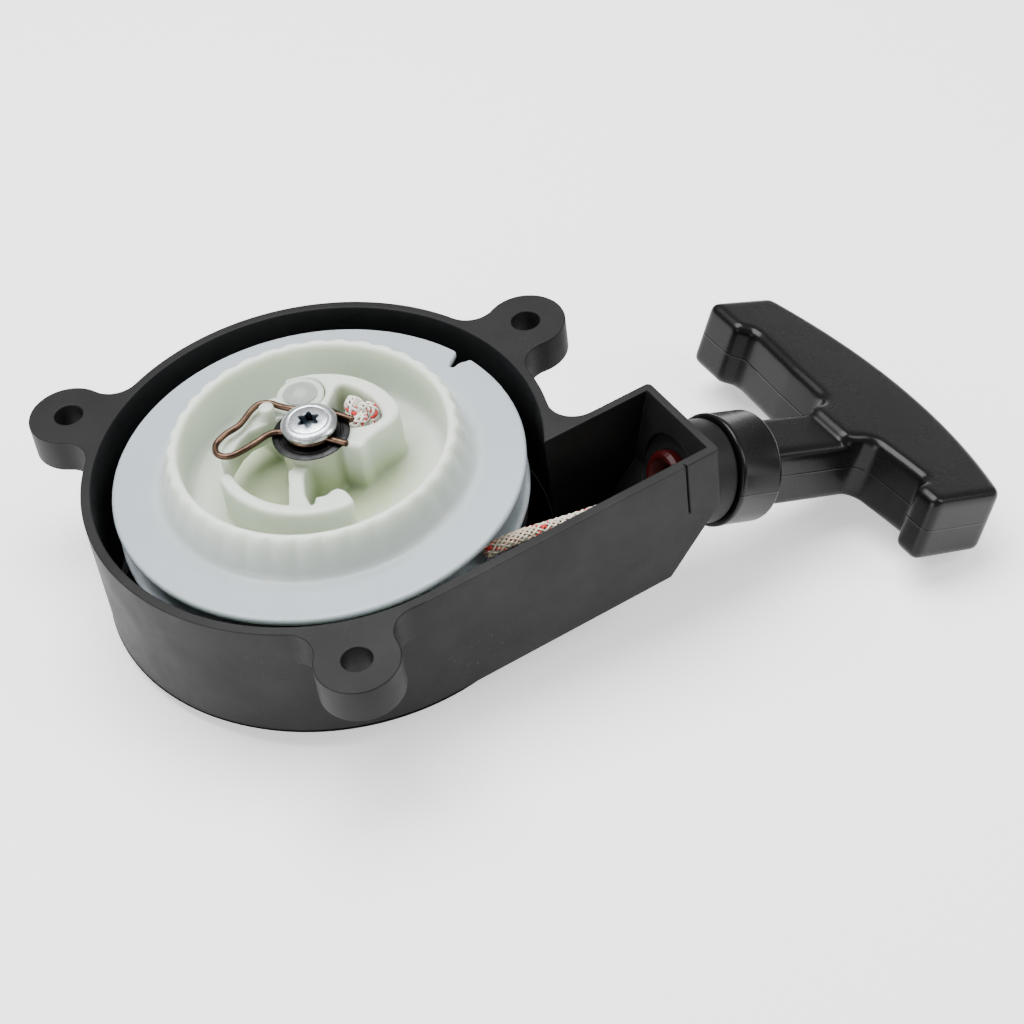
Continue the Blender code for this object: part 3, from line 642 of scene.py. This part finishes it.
def make_rotor(material):
    under = WELL_FLOOR - 1.6
    top = FLANGE_TOP
    outline = [(BORE_R, 4.0), (8.2, 4.0), (8.2, under), (28.2, under), (28.2, FLANGE_LOW), (43.7, FLANGE_LOW)]
    outline += [(FLANGE_R, 20.0), (FLANGE_R, 20.7), (43.8, 21.0), (30.2, 21.0), (30.2, 27.5), (43.7, 27.5)]
    outline += [(FLANGE_R, 27.8), (FLANGE_R, top - 0.4), (FLANGE_R - 0.4, top), (34.2, top)]
    outline += [(33.4, top + 0.25), (32.9, top + 0.9), (32.3, 32.0), (31.5, 34.8), (30.8, 36.9), (30.4, 37.8)]
    outline.append((29.9, 38.25))
    outline += [(29.3, RING_TOP), (28.9, 38.3), (28.5, 37.9), (28.35, 37.2), (27.9, 28.0), (27.3, 26.8)]
    outline += [(26.2, WELL_FLOOR), (7.8, WELL_FLOOR), (6.8, 26.9), (6.5, 28.0), (6.5, 38.0), (6.2, POST_TOP)]
    outline.append((BORE_R, POST_TOP))
    rotor = lathe("rotor_body", outline, 360, rotor_waves)
    root = WELL_FLOOR - 1.0

    lobe = arc((0.0, 0.0), 19.5, -9.5, 80.0, 32) + arc((0.0, 0.0), 5.6, 58.0, -62.0, 8)
    lobe += [(6.8, -9.8), (9.2, -8.2), (11.8, -7.4), (14.4, -7.1), (16.4, -6.5), (17.9, -5.5), (18.8, -4.4)]
    ledge = arc((0.0, 0.0), 17.6, 60.0, 108.0, 12) + arc((0.0, 0.0), 5.6, 120.0, 50.0, 6)
    crescent = arc((0.0, 0.0), 21.2, 172.0, 262.0, 32)
    crescent += [(-1.7, -20.7), (-1.4, -19.6), (-1.3, -17.6), (-1.6, -16.2), (-2.3, -15.1), (-3.4, -14.7)]
    crescent += [(-4.3, -15.0), (-5.2, -15.3), (-6.2, -15.1), (-7.4, -14.4), (-8.4, -16.2)]
    crescent += arc((0.0, 0.0), 18.4, 241.0, 172.0, 22) + [polar(19.8, 169.4)]
    rib = [(-8.2, -3.9), (-9.5, -6.6), (-12.9, -13.0), (-9.2, -16.2), (-8.5, -11.9), (-7.0, -8.6)]
    rib += [(-5.5, -6.0), (-3.0, -5.2), (-5.2, -3.0)]
    raised = [
        round_edges(prism("lobe", lobe, root, RING_TOP - 0.05), 0.8, 3, 50.0),
        prism("ledge", ledge, root, LEDGE_TOP),
        round_edges(prism("crescent", crescent, root, 36.3), 0.6, 3, 50.0),
        round_edges(prism("rib", rib, root, 35.9), 0.5, 2, 50.0),
    ]
    combine(rotor, "UNION", raised)

    pocket = [(12.6, 10.4), (11.2, 10.2), (10.0, 9.0), (6.6, 5.9), (5.9, 3.0), (6.9, -1.2), (8.4, -3.4)]
    pocket += [(10.5, -4.4), (13.0, -4.9), (14.9, -4.0), (15.9, -1.5), (16.0, 2.5), (15.2, 6.0), (13.8, 9.0)]
    notch = [(46.0, 15.6), (42.1, 14.3), (41.8, 12.9), (40.2, 11.7), (38.4, 10.3), (38.3, 9.5), (39.0, 9.0)]
    notch += [(40.4, 9.5), (41.4, 9.2), (46.0, 8.4)]
    cuts = [
        prism("knot_pocket", pocket, 30.5, ABOVE),
        cylinder("rope_drop", 1.9, 15.0, 31.0, (12.6, -1.0)),
        cylinder("pawl_seat", EYE_R + 0.28, LEDGE_TOP, ABOVE, PIVOT),
        cylinder("pin_hole", PIN_R + 0.3, 28.6, ABOVE, PIVOT),
        prism("flange_notch", notch, 26.5, 32.0),
        box("spring_catch", (6.6, -1.0, 2.0), (10.0, 1.0, 12.9)),
    ]
    combine(rotor, "DIFFERENCE", cuts)
    remeshed(rotor, 0.40, 5)
    rotor.data.materials.append(material)
    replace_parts(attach(rotor, "rotor"), "rope_rotor")


def make_pawl(material, pin_material):
    outline = arc(PIVOT, EYE_R, -72.0, 152.0, 36)
    outline += [(-2.0, 15.9), (-4.0, 15.7), (-8.0, 14.6), (-11.5, 13.0), (-14.5, 10.9), (-17.0, 8.2)]
    outline += [(-18.7, 5.6), (-18.5, 4.7), (-17.6, 4.3), (-15.6, 6.0), (-13.0, 8.0), (-10.0, 9.3)]
    outline += [(-6.5, 9.2), (-2.0, 8.7), (2.0, 8.6)]
    pawl = round_edges(prism("pawl_body", outline, PAWL_LOW, PAWL_TOP), 0.5, 3, 50.0)
    peg = [(0.0, 36.0), (PEG_R, 36.0), (PEG_R, PEG_TOP - 0.4), (PEG_R - 0.3, PEG_TOP - 0.1), (0.0, PEG_TOP)]
    combine(pawl, "UNION", [shift(lathe("peg", peg, 32), *PEG)])
    combine(pawl, "DIFFERENCE", [cylinder("pawl_bore", PIN_R + 0.1, 20.0, ABOVE, PIVOT)])
    weigh_normals(clean(pawl, 50.0))
    pawl.data.materials.append(material)
    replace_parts(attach(pawl, "pawl"), "pawl")

    head = PAWL_TOP + 0.05
    headed = [(0.0, 29.0), (PIN_R, 29.0), (PIN_R, head), (3.6, head), (3.7, head + 0.1)]
    headed += [(3.6, head + 0.25), (0.0, head + 0.3)]
    pin = shift(lathe("pawl_pin", headed, 64), *PIVOT)
    pin.data.materials.append(pin_material)
    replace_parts(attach(pin, "rotor"), "pawl_pivot_pin")


# ---------------------------------------------------------------- axle and clip


def make_axle_head(zinc, dark):
    profile = [(0.0, 22.0), (1.4, 22.8), (2.0, 23.6), (2.0, HEAD_LOW), (HEAD_R - 0.4, HEAD_LOW)]
    profile += [(HEAD_R, HEAD_LOW + 0.2), (HEAD_R, 41.9), (5.75, 42.1), (5.0, 42.55), (4.75, 42.65)]
    profile += [(4.3, 42.67), (4.1, 42.6), (3.9, 42.68), (0.0, HEAD_TOP)]
    screw = lathe("axle_screw_head", profile, 96)
    lobes = []
    for step in range(72):
        angle = 2 * math.pi * (step + 0.3) / 72
        radius = 2.1 + 0.42 * math.cos(6 * angle)
        lobes.append((radius * math.cos(angle), radius * math.sin(angle)))
    combine(screw, "DIFFERENCE", [prism("socket", lobes, SOCKET_FLOOR, ABOVE)])
    smooth(screw, 30.0)
    screw.data.materials.append(zinc)
    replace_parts(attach(screw, "housing"), "axle_screw")

    washer = [(POST_BORE_R, 38.6), (7.9, 38.6), (8.2, 38.75), (8.2, 38.95), (7.9, 39.1), (6.9, 39.15)]
    washer += [(6.7, 38.95), (6.4, 38.95), (6.2, 39.15), (3.8, 39.15), (3.8, HEAD_LOW)]
    washer.append((POST_BORE_R, HEAD_LOW))
    ring = lathe("retaining_ring", washer, 96)
    ring.data.materials.append(dark)
    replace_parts(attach(ring, "housing"), "retaining_washer")


def swept_tube(name, path, radius, sides=14):
    """A round wire along a path, with domed ends."""
    data = bmesh.new()
    rings = []
    side = Vector((0.0, 0.0, 1.0))
    for index, place in enumerate(path):
        along = (path[min(index + 1, len(path) - 1)] - path[max(index - 1, 0)]).normalized()
        across = along.cross(side).normalized()
        up = across.cross(along).normalized()
        ends = [(0.0, 1.0)]
        if index == 0:
            ends = [(-0.42, 0.55), (-0.22, 0.88), (0.0, 1.0)]
        if index == len(path) - 1:
            ends = [(0.0, 1.0), (0.22, 0.88), (0.42, 0.55)]
        for ahead, size in ends:
            middle = place + along * ahead * radius
            ring = []
            for step in range(sides):
                angle = 2 * math.pi * step / sides
                outward = across * math.cos(angle) + up * math.sin(angle)
                ring.append(data.verts.new(middle + outward * radius * size))
            rings.append(ring)
    for low, high in zip(rings, rings[1:]):
        for step in range(sides):
            after = (step + 1) % sides
            data.faces.new((low[step], low[after], high[after], high[step]))
    data.faces.new(rings[0][::-1])
    data.faces.new(rings[-1])
    return finish_mesh(name, data, 60.0)


def make_clip(material):
    strand = [(8.5, -2.9), (6.7, 0.4), (3.6, 4.0), (-0.2, 8.1), (-1.8, 10.3), (-3.0, 12.4), (-5.0, 13.5)]
    strand += [(-7.2, 12.9), (-11.4, 10.4), (-15.1, 9.7), (-18.0, 8.2), (-19.1, 5.7), (-18.0, 3.6)]
    strand += [(-15.5, 3.0), (-11.5, 3.4), (-8.0, 4.0), (-6.1, 3.5)]
    hug = arc((0.0, 0.0), CLIP_HUG_R, 156.0, 286.0, 12)
    places = [Vector((x, y, CLIP_Z)) for x, y in strand + hug + [(2.3, -6.0), (4.0, -8.6)]]
    clip = swept_tube("clip_wire", smooth_path(places, 6), CLIP_WIRE_R)
    clip.data.materials.append(material)
    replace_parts(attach(clip, "clip"), "friction_clip")


# ---------------------------------------------------------------- rope


def braid(name, path, turns_at, carriers, sides, tan_toning, core=1.28, thick=0.42, wide=0.52):
    """A braided rope: its carriers wind both ways and pass over and under each other.

    turns_at says how many turns the yarns have made at each point of the path.
    """
    data = bmesh.new()
    yarn = data.loops.layers.float_color.new("yarn")
    normals = []
    side = Vector((0.0, 0.0, 1.0))
    for index in range(len(path)):
        along = (path[min(index + 1, len(path) - 1)] - path[max(index - 1, 0)]).normalized()
        across = along.cross(side).normalized()
        normals.append((along, across, across.cross(along).normalized()))
    half = carriers // 2
    for carrier in range(carriers):
        way = 1 if carrier < half else -1
        start = (carrier % half) / half
        tinted = carrier in (1, half + 2)
        rings = []
        for index, place in enumerate(path):
            along, across, up = normals[index]
            turn = start + way * turns_at[index]
            angle = 2 * math.pi * turn
            over = way * math.cos(2 * math.pi * turns_at[index] * half + math.pi * (carrier % 2))
            reach = core + 0.14 * over
            out = across * math.cos(angle) + up * math.sin(angle)
            round_way = (up * math.cos(angle) - across * math.sin(angle)) * way
            middle = place + out * reach
            ring = []
            for step in range(sides):
                lean = 2 * math.pi * step / sides
                offset = out * math.sin(lean) * thick * 0.5
                offset += (round_way * 0.6 - along * 0.8) * math.cos(lean) * wide * 0.5
                ring.append(data.verts.new(middle + offset))
            rings.append(ring)
        for index, (low, high) in enumerate(zip(rings, rings[1:])):
            share = tan_toning(index / len(rings))
            color = [a + (b - a) * share for a, b in zip(WHITE, TAN)]
            if tinted:
                color = list(RED)
            for step in range(sides):
                after = (step + 1) % sides
                face = data.faces.new((low[step], low[after], high[after], high[step]))
                for loop in face.loops:
                    loop[yarn] = (*color, 1.0)
        data.faces.new(rings[0][::-1])
        data.faces.new(rings[-1])
    return finish_mesh(name, data, 80.0)


def lengths_along(path):
    total, lengths = 0.0, [0.0]
    for start, end in zip(path, path[1:]):
        total += (end - start).length
        lengths.append(total)
    return lengths


def even_path(points, gap):
    """Points a fixed distance apart on the smooth curve through the route's points."""
    fine = smooth_path(points, 24)
    lengths = lengths_along(fine)
    count = max(2, int(lengths[-1] / gap))
    even, index = [], 0
    for step in range(count + 1):
        goal = lengths[-1] * step / count
        while index < len(fine) - 2 and lengths[index + 1] < goal:
            index += 1
        share = (goal - lengths[index]) / max(lengths[index + 1] - lengths[index], 1e-9)
        even.append(fine[index].lerp(fine[index + 1], min(share, 1.0)))
    return even


def make_rope(material):
    y = GUIDE.y
    out = guide_frame().to_3x3() @ Vector((0.0, 0.0, 1.0))
    up = guide_frame().to_3x3() @ Vector((0.0, 1.0, 0.0))
    in_arm = [(17.6, 23.05), (22.0, 23.0), (26.0, 22.5), (32.0, 21.0), (46.0, 17.9)]
    in_guide = [(-10.0, 2.6), (-8.0, 1.9), (-6.0, 1.15), (-4.2, 0.5), (-2.5, 0.08), (0.0, 0.0), (2.0, 0.0)]
    route = [Vector((x, y, z)) for x, z in in_arm]
    route += [GUIDE + out * along - up * drop for along, drop in in_guide]
    path = even_path(route, 0.42)
    turns = [length / BRAID_PITCH for length in lengths_along(path)]
    # The yarn in the arm is tan near the rotor and turns white towards the guide; the coil is tan all over.
    run = braid("rope_in_arm", path, turns, 16, 6, lambda share: 0.9 - 1.2 * share if share < 0.7 else 0.06)
    run.data.materials.append(material)
    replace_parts(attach(run, "housing"), "rope_run")

    layers = []
    gap = 1.6
    for step in range(int(COIL_TURNS * 2 * math.pi * COIL_MIDDLE_R / gap)):
        angle = -math.pi / 2 - gap * step / COIL_MIDDLE_R
        laid = (-math.pi / 2 - angle) / (2 * math.pi)
        radius = WRAP_R - 2.85 * laid
        height = 24.25 + 1.15 * math.cos(math.pi * laid)
        layers.append(Vector((radius * math.cos(angle), radius * math.sin(angle), height)))
    turns = [length / BRAID_PITCH for length in lengths_along(layers)]
    coil = braid("rope_on_rotor", layers, turns, 12, 4, lambda share: 0.9, wide=0.75)
    coil.data.materials.append(material)
    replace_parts(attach(coil, "rotor"), "rope_coil")

    # The pulled length waits inside the neck: its yarns wind as many turns there as the drawn rope needs.
    start, end = 1.0, 9.0
    places, turns = [GUIDE + out * 0.2], [0.0]
    samples = 620
    for step in range(samples + 1):
        follow = step / samples
        share = 0.5 - math.sin(math.asin(1 - 2 * follow) / 3)
        places.append(GUIDE + out * (start + (end - start) * share))
        turns.append(follow * (PULL + end - start) / BRAID_PITCH)
    for step in range(1, 91):
        length = 41.0 * step / 90
        places.append(GUIDE + out * (end + length))
        turns.append((PULL + end - start + length) / BRAID_PITCH)
    tail = braid("rope_to_grip", places, turns, 8, 5, lambda share: 0.15, wide=1.0)
    tail.data.materials.append(material)
    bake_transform(tail)
    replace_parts(tail, "rope_tail")


def make_knot(name, node, body, centre, size, material, turn):
    """An overhand knot: the rope passes over and under itself three times."""
    points = []
    for step in range(31):
        angle = 0.25 + 2 * math.pi * 0.94 * step / 30
        across = math.sin(angle) + 2 * math.sin(2 * angle)
        along = math.cos(angle) - 2 * math.cos(2 * angle)
        points.append(Vector((size * across, size * along, -1.55 * math.sin(3 * angle))))
    path = [turn @ point + centre for point in even_path(points, 0.35)]
    turns = [length / 8.0 for length in lengths_along(path)]
    knot = braid(name, path, turns, 12, 6, lambda share: 0.0, core=1.1, thick=0.5, wide=0.62)
    knot.data.materials.append(material)
    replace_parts(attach(knot, body), node)


# ---------------------------------------------------------------- grip


def bar_outline():
    """The cross bar seen along its thickness: a bowed outer face, end blocks and fillets into the stem."""
    outer = []
    for step in range(41):
        side = BAR_FAR + (BAR_NEAR - BAR_FAR) * step / 40
        from_middle = side - BAR_MIDDLE
        outer.append((side, BAR_CROWN - 0.0044 * from_middle**2 - 0.016 * from_middle))
    near_block = [(BAR_NEAR, END_BLOCK), (-27.0, END_BLOCK), (-26.0, 41.0), (-25.2, 42.2), (-24.6, 43.8)]
    near_face = [(-23.2, 44.8), (-18.0, 44.3), *arc((-11.2, 39.4), 4.0, 90.0, 0.0, 6)]
    far_face = [*arc((11.2, 38.6), 4.0, 180.0, 90.0, 6), (22.0, 42.9), (36.0, 43.9), (38.0, 43.4)]
    far_block = [(38.9, 42.2), (39.7, 41.1), (40.9, END_BLOCK), (BAR_FAR, END_BLOCK)]
    return outer + near_block + near_face + [(-6.4, 36.0), (6.4, 36.0)] + far_face + far_block


def make_grip(material):
    bar = prism("grip_moulding", bar_outline(), BAR_LOW, BAR_HIGH)
    bar = move(bar, Matrix(((1, 0, 0, 0), (0, 0, 1, 0), (0, 1, 0, 0), (0, 0, 0, 1))))
    bar.data.flip_normals()
    round_edges(bar, 2.0, 5, 50.0)
    stem = round_edges(box("stem", (-STEM_HALF, -7.3, 13.0), (STEM_HALF, 7.4, 50.0)), 2.3, 5)
    combine(bar, "UNION", [stem])
    remeshed(bar, 0.42, 8)
    hollow = COLLAR_END - 5.5
    rim = [(10.0, hollow), (10.0, COLLAR_START + 0.4), (10.4, COLLAR_START), (11.9, COLLAR_START)]
    rim += [(12.2, COLLAR_START + 0.15), (COLLAR_R, COLLAR_START + 0.5), (COLLAR_R, COLLAR_START + 1.2)]
    rim += [(COLLAR_R - 0.12, COLLAR_START + 1.5), (COLLAR_R - 0.12, COLLAR_END - 1.2)]
    end = arc((COLLAR_R - 1.32, COLLAR_END - 1.2), 1.2, 10.0, 90.0, 6)
    collar = lathe("grip_collar", [(0.0, hollow), *rim, *end, (0.0, COLLAR_END)], 144)
    rope_way = cylinder("rope_way", ROPE_WAY_R, 5.0, 60.0)
    combine(bar, "DIFFERENCE", [cylinder("pocket", 4.6, 48.0, 80.0), rope_way])
    combine(collar, "DIFFERENCE", [cylinder("rope_way", ROPE_WAY_R, 5.0, 60.0)])
    on_guide(smooth(bar, 50.0))
    on_guide(smooth(collar, 50.0))
    for piece in (bar, collar):
        piece.data.materials.append(material)
        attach(piece, "grip")
    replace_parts(bar, "grip_body")


# ---------------------------------------------------------------- studio


def make_floor():
    """A pale floor under the starter as it lies: on the edge of its back and on the grip."""
    slope = -0.1022
    data = bmesh.new()
    bmesh.ops.create_grid(data, x_segments=2, y_segments=2, size=3000.0)
    floor = finish_mesh("studio_floor", data)
    tilt = Matrix.Rotation(-math.atan(slope), 4, "Y")
    floor.data.transform(Matrix.Translation((-0.0469, 0.0, -0.0003)) @ tilt)
    paint = Paint("studio_floor")
    white = paint.ramp(paint.noise(2.0, 2.0, 0.5), [(0.3, (0.86, 0.86, 0.86)), (0.7, (0.88, 0.88, 0.88))])
    paint.link(white, "Base Color")
    paint.set(roughness=0.9, emission_strength=0.75)
    paint.shader.inputs["Emission Color"].default_value = (1.0, 1.0, 1.0, 1.0)
    floor.data.materials.append(paint.material)


def add_light(name, place, target, size, power, spread=180.0):
    light = bpy.data.lights.new(name, "AREA")
    light.shape = "RECTANGLE"
    light.size, light.size_y = size
    light.energy = power
    light.spread = math.radians(spread)
    lamp = bpy.data.objects.new(name, light)
    lamp.location = place
    lamp.rotation_euler = (Vector(target) - Vector(place)).to_track_quat("-Z", "Y").to_euler()
    bpy.context.scene.collection.objects.link(lamp)


def make_studio():
    world = bpy.data.worlds.new("studio")
    world.use_nodes = True
    world.node_tree.nodes["Background"].inputs["Color"].default_value = (1.0, 1.0, 1.0, 1.0)
    world.node_tree.nodes["Background"].inputs["Strength"].default_value = 0.45
    bpy.context.scene.world = world
    add_light("top_softbox", (0.05, 0.20, 0.75), (0.03, -0.02, 0.0), (0.8, 0.5), 16.0)
    add_light("left_softbox", (-0.7, -0.2, 0.26), (0.0, 0.0, 0.0), (0.5, 0.4), 3.4)
    add_light("right_strip", (0.65, -0.45, 0.5), (0.08, -0.03, 0.0), (0.25, 0.6), 4.0)

    camera = bpy.data.cameras.new("camera")
    camera.lens = 85.97
    camera.sensor_width = 36.0
    camera.clip_start = 0.01
    holder = bpy.data.objects.new("camera", camera)
    right = Vector((0.8453, -0.5244, -0.1026)).normalized()
    forward = Vector((0.3107, 0.6386, -0.7040)).normalized()
    up = right.cross(forward).normalized()
    right = forward.cross(up).normalized()
    turn = Matrix((right, up, -forward)).transposed().to_4x4()
    holder.matrix_world = Matrix.Translation((-0.1298, -0.3559, 0.3810)) @ turn
    bpy.context.scene.collection.objects.link(holder)
    bpy.context.scene.camera = holder


def repaint(node, material):
    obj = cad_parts[node]
    obj.data.materials.clear()
    obj.data.materials.append(material)
    obj.data.shade_smooth()
    obj.data.set_sharp_from_angle(angle=math.radians(35))


make_studio()
make_floor()

housing_black = moulded_plastic(
    "housing_black", (0.003, 0.003, 0.0032), (0.009, 0.009, 0.0094),
    roughness=0.36, gloss_change=0.34, grain=0.35, shine=0.19, scuffs=0.7,
)
grip_black = moulded_plastic(
    "grip_black", (0.002, 0.002, 0.0021), (0.004, 0.004, 0.0042),
    roughness=0.22, gloss_change=0.10, grain=0.03, shine=0.2, scuffs=0.04, parting=True,
)
cover_nylon = moulded_plastic(
    "cover_nylon", (0.012, 0.012, 0.013), (0.025, 0.025, 0.027),
    roughness=0.45, gloss_change=0.2, grain=0.3, shine=0.4,
)
eyelet_red = moulded_plastic(
    "eyelet_red", (0.012, 0.0007, 0.0007), (0.03, 0.0015, 0.0015),
    roughness=0.3, gloss_change=0.2, grain=0.2, shine=0.16, scuffs=0.02,
)
# The last colour of each nylon is painted shade for the rotor's recess and the tube under the washer.
rotor_nylon = nylon("rotor_nylon", (0.36, 0.41, 0.445), (0.61, 0.66, 0.585), (0.33, 0.40, 0.21))
pawl_nylon = nylon("pawl_nylon", (0.55, 0.60, 0.52), (0.55, 0.60, 0.52), (0.42, 0.47, 0.32))
pin_nylon = nylon("pin_nylon", (0.40, 0.46, 0.38), (0.37, 0.43, 0.34), (0.36, 0.42, 0.34))
# The socket colour is painted shade for the axle screw's socket.
zinc = turned_zinc("zinc_plate", (0.64, 0.66, 0.69), dull=(0.46, 0.48, 0.50), socket=(0.16, 0.19, 0.22))
spring_steel = metal("spring_steel", (0.22, 0.23, 0.25), (0.42, 0.43, 0.46), 0.25, (1.0, 1.0, 0.1))
washer_dark = metal("washer_dark", (0.010, 0.010, 0.011), (0.03, 0.03, 0.031), 0.26)
clip_bronze = metal("clip_bronze", (0.040, 0.024, 0.018), (0.14, 0.085, 0.056), 0.22, strength=0.25)
rope_yarn = painted_fibre("rope_yarn")

make_housing(housing_black)
make_rotor(rotor_nylon)
make_pawl(pawl_nylon, pin_nylon)
make_axle_head(zinc, washer_dark)
make_clip(clip_bronze)
make_rope(rope_yarn)
lean = Matrix.Rotation(0.35, 3, "X") @ Matrix.Rotation(0.8, 3, "Z")
make_knot("knot_in_rotor", "rotor_knot", "rotor", Vector((12.2, 2.2, 35.2)), 1.1, rope_yarn, lean)
knot_place = GUIDE + guide_frame().to_3x3() @ Vector((0.0, 0.0, 53.0))
make_knot("knot_in_grip", "grip_knot", "grip", knot_place, 0.92, rope_yarn, guide_frame().to_3x3())
make_grip(grip_black)
repaint("spring_cover", cover_nylon)
repaint("rope_eyelet", eyelet_red)
repaint("rewind_spring", spring_steel)
repaint("thrust_washer", washer_dark)
repaint("grip_washer", zinc)
repaint("grip_plug", grip_black)
for index in (1, 2, 3):
    repaint(f"cover_screw_{index}", zinc)
